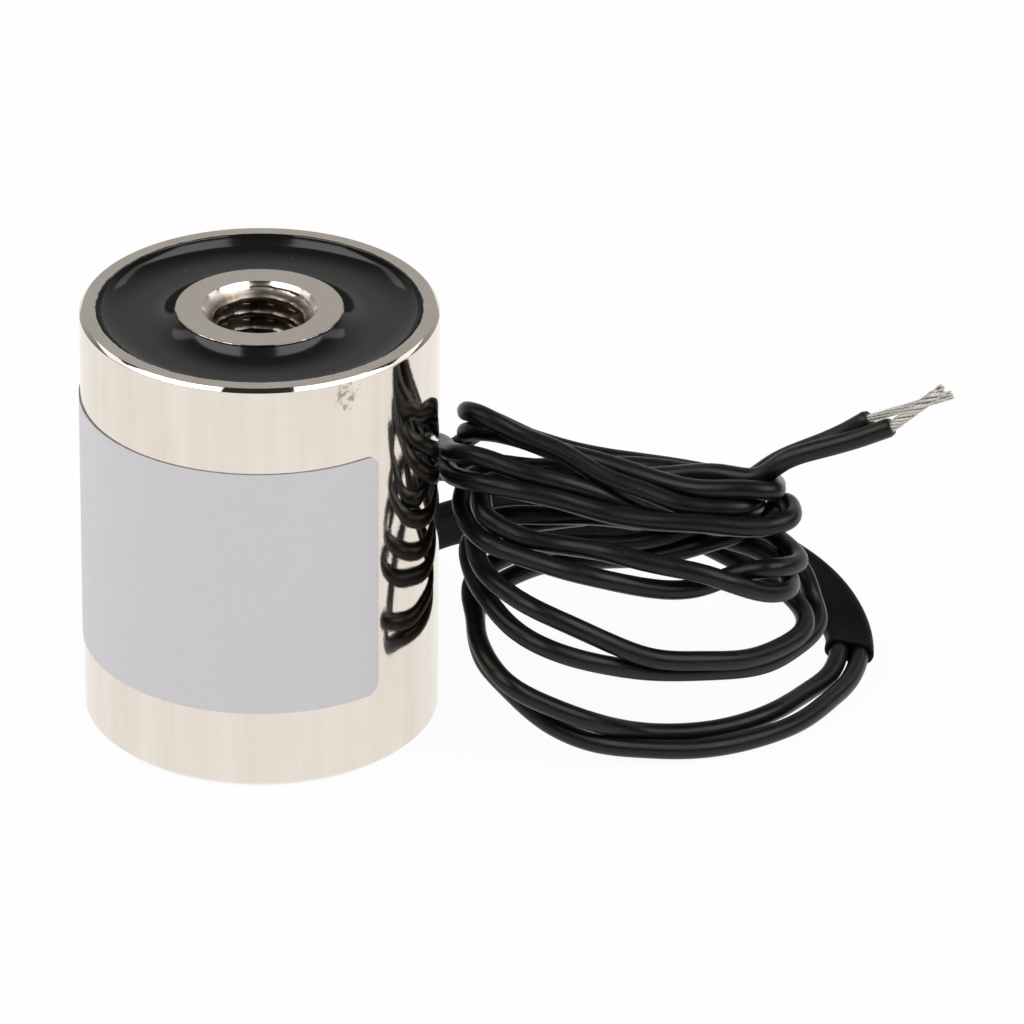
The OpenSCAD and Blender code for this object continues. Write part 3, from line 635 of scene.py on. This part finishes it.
label_caps = [np.arange(LABEL_LOOP)[::-1], np.arange(LABEL_LOOP) + (len(strip) - 1) * LABEL_LOOP]
label = make_piece("label_film", label_points.reshape(-1, 3), label_faces, label_caps, sharp_deg=40)
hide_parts("label")

# %% [markdown]
# Now the finishes. Colours are written as sRGB hex, as a colour picker shows them, and
# one function turns them linear, as the renderer works. Another small function adds a
# node, sets it up and links its inputs, so each finish reads as a list of what it does.

# %% Colours and nodes
def hex_colour(code):
    """sRGB hex to linear red, green, blue: divide by 12.92 near black, else ((c + 0.055) / 1.055) ^ 2.4."""
    c = np.array([int(code[k : k + 2], 16) for k in (0, 2, 4)]) / 255
    return (*np.where(c <= 0.04045, c / 12.92, ((c + 0.055) / 1.055) ** 2.4).tolist(), 1.0)


def per_mm(size_mm):
    """Scale of a pattern whose features are this many millimetres apart, on coordinates in metres."""
    return 1 / (size_mm * MM)


def add(tree, kind, inputs=None, stops=(), **settings):
    """Adds one shader node. Settings are its properties. Inputs are its sockets: each takes a value, an output of
    another node, or a node, which stands for its first output in use. Stops are a ramp's (position, grey) pairs."""
    made = tree.nodes.new("ShaderNode" + kind)
    for key, value in settings.items():
        setattr(made, key, value)
    for key, value in (inputs or {}).items():
        if isinstance(value, bpy.types.Node):
            value = next(socket for socket in value.outputs if socket.enabled)
        if isinstance(value, bpy.types.NodeSocket):
            tree.links.new(value, made.inputs[key])
        else:
            made.inputs[key].default_value = value
    for position, _ in stops[1:-1]:
        made.color_ramp.elements.new(position)
    for k, (position, grey) in enumerate(stops):
        made.color_ramp.elements[k].position = position
        made.color_ramp.elements[k].color = (grey, grey, grey, 1)
    return made


def new_finish(name):
    """An empty node material, and its tree."""
    finish = bpy.data.materials.new(name)
    finish.use_nodes = True
    finish.node_tree.nodes.clear()
    return finish, finish.node_tree


def from_axis(tree, place):
    """A place's height, the place put down on the foot, and its distance from the axis: z, (x, y, 0), its length."""
    parts = add(tree, "SeparateXYZ", {"Vector": place})
    flat = add(tree, "CombineXYZ", {"X": parts.outputs["X"], "Y": parts.outputs["Y"], "Z": 0.0})
    return parts.outputs["Z"], flat, add(tree, "VectorMath", {0: flat}, operation="LENGTH")


def dress(piece, *finishes):
    """Gives a piece its finishes in place of any it had."""
    piece.data.materials.clear()
    for finish in finishes:
        piece.data.materials.append(finish)

# %% [markdown]
# Bright nickel over turned steel. Nickel is a metal with a warm, slightly yellow tint.
# The plate follows the fine grind below it, so reflections have grainy edges, and a few
# hairline scratches and tiny pits catch the light. Grain of 0.16 mm is real size. Slow
# upright bands vary the tint, a brown stain sits under the rim at the front, and a thin
# uneven skin of resin has crept over the inner edge of the rim.

# %% Nickel plate
STAIN = (5.0 * MM, -8.66 * MM, 24.0 * MM)
SKIN_NEAR, SKIN_FAR, SKIN_ABOVE = 9.05 * MM, 9.15 * MM, 24.5 * MM
nickel, tree = new_finish("bright nickel plate on turned steel")
place = add(tree, "TexCoord").outputs["Object"]
grain = add(tree, "TexNoise", {"Vector": place, "Scale": per_mm(0.16), "Detail": 3.0, "Roughness": 0.6})
cloud = add(tree, "TexNoise", {"Vector": place, "Scale": per_mm(4.0), "Detail": 3.0, "Roughness": 0.55})
pits = add(tree, "TexVoronoi", {"Vector": place, "Scale": per_mm(2.2), "Randomness": 1.0})
pit_size = add(tree, "TexNoise", {"Vector": place, "Scale": per_mm(1.9), "Detail": 1.0})
pit_edge = add(tree, "Math", {0: pit_size, 1: 0.62}, operation="SUBTRACT")
pit = add(tree, "Math", {0: pits, 1: pit_edge}, operation="LESS_THAN")
stretch = add(tree, "Mapping", {"Vector": place, "Rotation": (0.15, 0.1, 0.0), "Scale": (1.0, 1.0, 0.05)})
hair = add(tree, "TexNoise", {"Vector": stretch, "Scale": per_mm(0.5), "Detail": 2.0})
scratch = add(tree, "ValToRGB", {"Fac": hair}, [(0.0, 0.0), (0.70, 0.0), (0.74, 1.0), (1.0, 1.0)])
band = add(tree, "TexNoise", {"Vector": stretch, "Scale": per_mm(1.4), "Detail": 3.0, "Roughness": 0.6})
tone = add(tree, "Math", {0: cloud, 1: 0.4, 2: band}, operation="MULTIPLY_ADD")
tone = add(tree, "MapRange", {"Value": tone, "From Min": 0.45, "From Max": 0.95})
tint = add(tree, "Mix", {"Factor": tone, "A": hex_colour("EBE3D9"), "B": hex_colour("E1D6CA")}, data_type="RGBA")
away = add(tree, "VectorMath", {0: place, 1: STAIN}, operation="DISTANCE")
spot = add(tree, "MapRange", {"Value": away, "From Min": 0.3 * MM, "From Max": 1.6 * MM,
                              "To Min": 0.18, "To Max": -0.1})
mottle = add(tree, "TexNoise", {"Vector": place, "Scale": per_mm(0.4), "Detail": 5.0, "Roughness": 0.75})
stain = add(tree, "Math", {0: mottle, 1: spot}, operation="ADD")
stained = add(tree, "ValToRGB", {"Fac": stain}, [(0.0, 0.0), (0.61, 0.0), (0.74, 0.75), (1.0, 0.75)])
tint = add(tree, "Mix", {"Factor": stained, "A": tint, "B": hex_colour("7A6E55")}, data_type="RGBA")
pitted = add(tree, "Mix", {"Factor": pit, "A": tint, "B": hex_colour("8F857A")}, data_type="RGBA")
height, flat, radius = from_axis(tree, place)
ragged = add(tree, "TexNoise", {"Vector": flat, "Scale": per_mm(0.7), "Detail": 4.0, "Roughness": 0.7})
skin_edge = add(tree, "MapRange", {"Value": ragged, "From Min": 0.35, "From Max": 0.7,
                                   "To Min": SKIN_NEAR, "To Max": SKIN_FAR})
near = add(tree, "Math", {0: radius, 1: skin_edge}, operation="LESS_THAN")
on_top = add(tree, "Math", {0: height, 1: SKIN_ABOVE}, operation="GREATER_THAN")
smear = add(tree, "Math", {0: near, 1: on_top}, operation="MULTIPLY")
skinned = add(tree, "Mix", {"Factor": smear, "A": pitted, "B": hex_colour("1A1A18")}, data_type="RGBA")
bare = add(tree, "Math", {0: 1.0, 1: smear}, operation="SUBTRACT")
rough = add(tree, "MapRange", {"Value": cloud, "From Min": 0.3, "From Max": 0.7, "To Min": 0.03, "To Max": 0.06})
relief = add(tree, "Math", {0: scratch, 1: 0.25, 2: grain}, operation="MULTIPLY_ADD")
bump = add(tree, "Bump", {"Height": relief, "Strength": 0.08, "Distance": 0.02 * MM})
skin = add(tree, "BsdfPrincipled", {"Base Color": skinned, "Metallic": bare, "Roughness": rough, "Normal": bump})
add(tree, "OutputMaterial", {"Surface": skin})
dress(pot, nickel)
print("dressed the pot")

# %% [markdown]
# The pole is the same plated steel. Its thread stays rough from the tap, so inside the bore it is duller than the face.
# Its colour there is painted browner and darker with depth, as painted shade, while the crests of the thread are kept
# lighter, as painted highlight lines. The lower part of the countersink is painted darker and browner in patches
# towards the bore, and the outer edge of the face is painted darker in patches, as painted shade that dims its bright
# edge line.

# %% Plated pole
MOUTH_R, THROAT_R = 3.2 * MM, 2.95 * MM
BORE_SHADE_TOP, BORE_SHADE_FULL = 24.85 * MM, 24.2 * MM
CREST_R, FLANK_R = 2.55 * MM, 2.66 * MM
SINK_DARK_FROM_R, SINK_DARK_R = 3.02 * MM, 2.7 * MM
EDGE_R, EDGE_SHADE_R = 4.6 * MM, 4.67 * MM
pole_steel, tree = new_finish("nickel plate on a tapped steel pole")
place = add(tree, "TexCoord").outputs["Object"]
height, _, radius = from_axis(tree, place)
grain = add(tree, "TexNoise", {"Vector": place, "Scale": per_mm(0.14), "Detail": 3.0, "Roughness": 0.6})
blot = add(tree, "TexNoise", {"Vector": place, "Scale": per_mm(0.9), "Detail": 4.0, "Roughness": 0.65})
# Painted shade in the bore: browner and darker with depth, and the crest factor keeps the thread's crests lighter, as
# painted highlight lines.
inside_wall = add(tree, "MapRange", {"Value": radius, "From Min": MOUTH_R, "From Max": THROAT_R})
depth = add(tree, "MapRange", {"Value": height, "From Min": BORE_SHADE_TOP, "From Max": BORE_SHADE_FULL})
bore_shade_depth = add(tree, "Math", {0: inside_wall, 1: depth}, operation="MULTIPLY")
patchy = add(tree, "MapRange", {"Value": blot, "From Min": 0.3, "From Max": 0.7, "To Min": 0.55, "To Max": 1.0})
crest = add(tree, "MapRange", {"Value": radius, "From Min": CREST_R, "From Max": FLANK_R, "To Min": 0.3, "To Max": 1.0})
patchy_bore_shade = add(tree, "Math", {0: bore_shade_depth, 1: patchy}, operation="MULTIPLY")
painted_bore_shade = add(tree, "Math", {0: patchy_bore_shade, 1: crest}, operation="MULTIPLY")
pits = add(tree, "TexVoronoi", {"Vector": place, "Scale": per_mm(0.9), "Randomness": 1.0})
pit = add(tree, "Math", {0: pits, 1: 0.045}, operation="LESS_THAN")
# The lower part of the countersink, towards the bore, is painted darker and browner in patches.
scuffs_and_sink_darkening = add(tree, "MapRange", {"Value": radius, "From Min": SINK_DARK_FROM_R, "From Max": SINK_DARK_R})
scuffs_and_sink_darkening = add(tree, "Math", {0: scuffs_and_sink_darkening, 1: patchy}, operation="MULTIPLY")
tint = add(tree, "Mix", {"Factor": grain, "A": hex_colour("EFE6DA"), "B": hex_colour("E0D5C9")}, data_type="RGBA")
# Painted shade in patches on the outer edge of the face dims its bright edge line.
rim_edge = add(tree, "MapRange", {"Value": radius, "From Min": EDGE_R, "From Max": EDGE_SHADE_R})
edge_shade_patches = add(tree, "ValToRGB", {"Fac": blot}, [(0.0, 0.25), (0.40, 0.35), (0.52, 0.9), (1.0, 0.9)])
painted_edge_shade = add(tree, "Math", {0: rim_edge, 1: edge_shade_patches}, operation="MULTIPLY")
for share, colour in ((scuffs_and_sink_darkening, "6E6055"), (painted_bore_shade, "3C2619"), (pit, "7A6E62"), (painted_edge_shade, "51473E")):
    tint = add(tree, "Mix", {"Factor": share, "A": tint, "B": hex_colour(colour)}, data_type="RGBA")
rough = add(tree, "MapRange", {"Value": inside_wall, "To Min": 0.1, "To Max": 0.32})
bump = add(tree, "Bump", {"Height": grain, "Strength": 0.06, "Distance": 0.02 * MM})
skin = add(tree, "BsdfPrincipled", {"Base Color": tint, "Metallic": 1.0, "Roughness": rough, "Normal": bump})
add(tree, "OutputMaterial", {"Surface": skin})
dress(pole, pole_steel)
print("dressed the pole")

# %% [markdown]
# Cast epoxy, black and glossy, with a skin that is nearly a mirror at a low angle. Dust
# that fell in while it set leaves a few pale specks, under 0.1 mm across.

# %% Cast epoxy
epoxy, tree = new_finish("cast black epoxy, glossy")
place = add(tree, "TexCoord").outputs["Object"]
dust = add(tree, "TexVoronoi", {"Vector": place, "Scale": per_mm(1.1), "Randomness": 1.0})
speck = add(tree, "Math", {0: dust, 1: 0.035}, operation="LESS_THAN")
swirl = add(tree, "TexNoise", {"Vector": place, "Scale": per_mm(2.2), "Detail": 2.0})
tint = add(tree, "Mix", {"Factor": speck, "A": hex_colour("1A1B19"), "B": hex_colour("6A6862")}, data_type="RGBA")
rough = add(tree, "MapRange", {"Value": swirl, "From Min": 0.3, "From Max": 0.7, "To Min": 0.1, "To Max": 0.16})
bump = add(tree, "Bump", {"Height": swirl, "Strength": 0.15, "Distance": 0.05 * MM})
skin = add(tree, "BsdfPrincipled", {"Base Color": tint, "Roughness": rough, "IOR": 1.55,
                                    "Specular IOR Level": 0.32, "Normal": bump})
add(tree, "OutputMaterial", {"Surface": skin})
dress(resin, epoxy)
print("dressed the resin")

# %% [markdown]
# Label stock is white vinyl film with a cool cast and a satin face. Close up it has a
# faint cast grain of about 0.3 mm, and slow waves where air and glue lie below it.

# %% Label film
film, tree = new_finish("satin vinyl label film")
place = add(tree, "TexCoord").outputs["Object"]
grain = add(tree, "TexNoise", {"Vector": place, "Scale": per_mm(0.3), "Detail": 3.0})
wave = add(tree, "TexNoise", {"Vector": place, "Scale": per_mm(5.0), "Detail": 2.0})
tint = add(tree, "Mix", {"Factor": grain, "A": hex_colour("E1DFE2"), "B": hex_colour("DBD9DD")}, data_type="RGBA")
rough = add(tree, "MapRange", {"Value": wave, "From Min": 0.3, "From Max": 0.7, "To Min": 0.42, "To Max": 0.52})
relief = add(tree, "Math", {0: wave, 1: 6.0, 2: grain}, operation="MULTIPLY_ADD")
bump = add(tree, "Bump", {"Height": relief, "Strength": 0.12, "Distance": 0.02 * MM})
skin = add(tree, "BsdfPrincipled", {"Base Color": tint, "Roughness": rough, "IOR": 1.5, "Normal": bump})
add(tree, "OutputMaterial", {"Surface": skin})

film_edge, tree = new_finish("cut edge of label film with glue")
place = add(tree, "TexCoord").outputs["Object"]
dirt = add(tree, "TexNoise", {"Vector": place, "Scale": per_mm(0.6), "Detail": 3.0})
tint = add(tree, "Mix", {"Factor": dirt, "A": hex_colour("6E6A6C"), "B": hex_colour("A9A5A8")}, data_type="RGBA")
skin = add(tree, "BsdfPrincipled", {"Base Color": tint, "Roughness": 0.6, "IOR": 1.5})
add(tree, "OutputMaterial", {"Surface": skin})
dress(label, film, film_edge)
number = np.arange(len(label.data.polygons))
on_edge = np.isin(number % LABEL_LOOP, (LABEL_ROWS - 1, LABEL_LOOP - 1)) | (number >= len(label_faces))
label.data.polygons.foreach_set("material_index", on_edge.astype(np.int32))
print("edge faces of the label:", int(on_edge.sum()))

# %% [markdown]
# Lead insulation is extruded soft PVC: black, with a satin skin. The die leaves faint
# lines along the wire and handling leaves dull patches. The lines run on the flat map of
# the tube, in millimetres along and around, and the patches and pores lie in space.

# %% PVC leads
pvc, tree = new_finish("extruded black PVC insulation")
surface_mm = add(tree, "UVMap", uv_map="surface_mm")
drawn = add(tree, "Mapping", {"Vector": surface_mm, "Scale": (0.12, 9.0, 1.0)})
lines = add(tree, "TexNoise", {"Vector": drawn, "Scale": 1.0, "Detail": 2.0})
place = add(tree, "TexCoord").outputs["Object"]
scuff = add(tree, "TexNoise", {"Vector": place, "Scale": per_mm(1.2), "Detail": 4.0, "Roughness": 0.6})
pores = add(tree, "TexNoise", {"Vector": place, "Scale": per_mm(0.12), "Detail": 2.0})
scuffs_and_sink_darkening = add(tree, "ValToRGB", {"Fac": scuff}, [(0.0, 0.0), (0.52, 0.0), (0.72, 1.0), (1.0, 1.0)])
tint = add(tree, "Mix", {"Factor": scuffs_and_sink_darkening, "A": hex_colour("121110"), "B": hex_colour("181716")}, data_type="RGBA")
rough = add(tree, "MapRange", {"Value": scuff, "From Min": 0.3, "From Max": 0.7, "To Min": 0.28, "To Max": 0.42})
relief = add(tree, "Math", {0: lines, 1: 1.0, 2: pores}, operation="MULTIPLY_ADD")
bump = add(tree, "Bump", {"Height": relief, "Strength": 0.1, "Distance": 0.03 * MM})
skin = add(tree, "BsdfPrincipled", {"Base Color": tint, "Roughness": rough, "IOR": 1.53,
                                    "Specular IOR Level": 0.28, "Normal": bump})
add(tree, "OutputMaterial", {"Surface": skin})
for lead in leads:
    dress(lead, pvc)
print("dressed the leads")

# %% [markdown]
# Heat-shrink sleeve is polyolefin, matte black with a faint orange-peel skin that the
# hot air leaves, about 0.4 mm across.

# %% Shrink sleeve
shrink, tree = new_finish("heat-shrunk polyolefin sleeve")
place = add(tree, "TexCoord").outputs["Object"]
peel = add(tree, "TexNoise", {"Vector": place, "Scale": per_mm(0.4), "Detail": 3.0})
patch = add(tree, "TexNoise", {"Vector": place, "Scale": per_mm(2.5), "Detail": 2.0})
tint = add(tree, "Mix", {"Factor": patch, "A": hex_colour("0D0D0C"), "B": hex_colour("131212")}, data_type="RGBA")
rough = add(tree, "MapRange", {"Value": peel, "From Min": 0.3, "From Max": 0.7, "To Min": 0.5, "To Max": 0.62})
bump = add(tree, "Bump", {"Height": peel, "Strength": 0.25, "Distance": 0.04 * MM})
skin = add(tree, "BsdfPrincipled", {"Base Color": tint, "Roughness": rough, "IOR": 1.5,
                                    "Specular IOR Level": 0.12, "Normal": bump})
add(tree, "OutputMaterial", {"Surface": skin})
dress(sleeve, shrink)
print("dressed the sleeve")

# %% [markdown]
# Tinned copper strand is dull silver, with a soft tin skin that smears where the
# strands were twisted by hand.

# %% Tinned strands
tinned, tree = new_finish("tinned copper strand, hand twisted")
place = add(tree, "TexCoord").outputs["Object"]
smear = add(tree, "TexNoise", {"Vector": place, "Scale": per_mm(0.35), "Detail": 3.0})
tint = add(tree, "Mix", {"Factor": smear, "A": hex_colour("E4E0D9"), "B": hex_colour("C6C0B5")}, data_type="RGBA")
rough = add(tree, "MapRange", {"Value": smear, "From Min": 0.3, "From Max": 0.7, "To Min": 0.4, "To Max": 0.6})
skin = add(tree, "BsdfPrincipled", {"Base Color": tint, "Metallic": 0.55, "Roughness": rough})
add(tree, "OutputMaterial", {"Surface": skin})
for twist in strands:
    dress(twist, tinned)
print("dressed the strands")

# %% [markdown]
# The coil is sealed inside and never seen, but a library part may be cut open, so its
# nodes keep their CAD shapes and get plain honest finishes: moulded nylon, enamelled
# copper wire, polyester tape and solder.

# %% Inside pieces
def inside_finish(name, first, second, size_mm, roughness, metallic):
    """Two tones of one colour mixed by fine noise of the given size."""
    finish, tree = new_finish(name)
    place = add(tree, "TexCoord").outputs["Object"]
    tone = add(tree, "TexNoise", {"Vector": place, "Scale": per_mm(size_mm), "Detail": 3.0})
    tint = add(tree, "Mix", {"Factor": tone, "A": hex_colour(first), "B": hex_colour(second)}, data_type="RGBA")
    bump = add(tree, "Bump", {"Height": tone, "Strength": 0.2, "Distance": 0.05 * MM})
    skin = add(tree, "BsdfPrincipled", {"Base Color": tint, "Roughness": roughness, "Metallic": metallic,
                                        "Normal": bump})
    add(tree, "OutputMaterial", {"Surface": skin})
    return finish


inside = {
    "bobbin": inside_finish("moulded nylon", "EFEBDD", "E2DDCB", 0.8, 0.5, 0.0),
    "winding": inside_finish("enamelled copper wire", "B5622E", "8A4520", 0.2, 0.3, 1.0),
    "tape": inside_finish("polyester coil tape", "E0B93A", "CFA52C", 1.5, 0.35, 0.0),
}
inside["joint_1"] = inside["joint_2"] = inside_finish("tin solder", "C9CACB", "A8A9AA", 0.3, 0.3, 1.0)
for name, finish in inside.items():
    dress(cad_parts[name], finish)
print("dressed inside:", list(inside))

# %% [markdown]
# The set is a plain product table: a white floor that runs out of sight, and two large
# soft panels overhead, left and right, with a dark gap between them that is wider at the
# front, and a weaker panel behind each. The steel wall mirrors the floor, the flat pole
# face mirrors the dim room behind, and the edges and the resin mirror the panels. To the
# camera and to mirrors the floor is white, and it keeps a soft share of the shadow.

# %% Floor
FLOOR_HALF, FLOOR_WHITE = 1.5, 0.95
corners = [(x * FLOOR_HALF, y * FLOOR_HALF, 0) for x, y in ((-1, -1), (1, -1), (1, 1), (-1, 1))]
floor_mesh = bpy.data.meshes.new("floor")
floor_mesh.from_pydata(corners, [], [(0, 1, 2, 3)])
floor = bpy.data.objects.new("floor", floor_mesh)
bpy.context.scene.collection.objects.link(floor)
paper, tree = new_finish("white paper table")
ray = add(tree, "LightPath").outputs
seen = add(tree, "Math", {0: ray["Is Camera Ray"], 1: ray["Is Glossy Ray"]}, operation="MAXIMUM")
seen = add(tree, "Math", {0: seen, 1: ray["Is Transmission Ray"]}, operation="MAXIMUM")
share = add(tree, "Math", {0: seen, 1: FLOOR_WHITE}, operation="MULTIPLY")
matt = add(tree, "BsdfDiffuse", {"Color": hex_colour("F7F7F7")})
glow = add(tree, "Emission", {"Color": (1, 1, 1, 1), "Strength": 1.0})
mixed = add(tree, "MixShader", {"Fac": share, 1: matt, 2: glow})
add(tree, "OutputMaterial", {"Surface": mixed})
floor_mesh.materials.append(paper)
print("floor", 2 * FLOOR_HALF, "m square")

# %% [markdown]
# The world stands for the room: white to the camera, and for everything else a grey that
# is light at the back and dim in front.

# %% Room and lamps
world = bpy.data.worlds.new("room")
bpy.context.scene.world = world
world.use_nodes = True
tree = world.node_tree
tree.nodes.clear()
heading = add(tree, "SeparateXYZ", {"Vector": add(tree, "TexCoord").outputs["Generated"]})
room = add(tree, "ValToRGB", {"Fac": heading.outputs["Y"]}, [(0.0, 0.03), (0.3, 0.06), (0.75, 0.42), (1.0, 0.45)])
ray = add(tree, "LightPath").outputs
dim = add(tree, "Background", {"Color": room, "Strength": 1.0})
white = add(tree, "Background", {"Color": (1, 1, 1, 1), "Strength": 1.0})
mixed = add(tree, "MixShader", {"Fac": ray["Is Camera Ray"], 1: dim, 2: white})
add(tree, "OutputWorld", {"Surface": mixed})


def soft_panel(name, place, turn_deg, wide, bore_shade_depth, watts):
    """A rectangular area lamp that hangs level and shines straight down, turned about the upright."""
    lamp = bpy.data.lights.new(name, "AREA")
    lamp.shape = "RECTANGLE"
    lamp.size, lamp.size_y, lamp.energy = wide, bore_shade_depth, watts
    panel = bpy.data.objects.new(name, lamp)
    panel.matrix_world = Matrix.Translation(place) @ Matrix.Rotation(math.radians(turn_deg), 4, "Z")
    bpy.context.scene.collection.objects.link(panel)


PANEL_WATTS, SIDE_WATTS = 15.0, 3.5
soft_panel("left panel", (-0.95, -0.55, 0.9), -18, 1.2, 1.3, PANEL_WATTS)
soft_panel("right panel", (0.95, -0.55, 0.9), 18, 1.2, 1.3, PANEL_WATTS)
soft_panel("left side panel", (-1.4, 0.65, 0.9), -35, 0.8, 1.2, SIDE_WATTS)
soft_panel("right side panel", (1.4, 0.65, 0.9), 35, 0.8, 1.2, SIDE_WATTS)
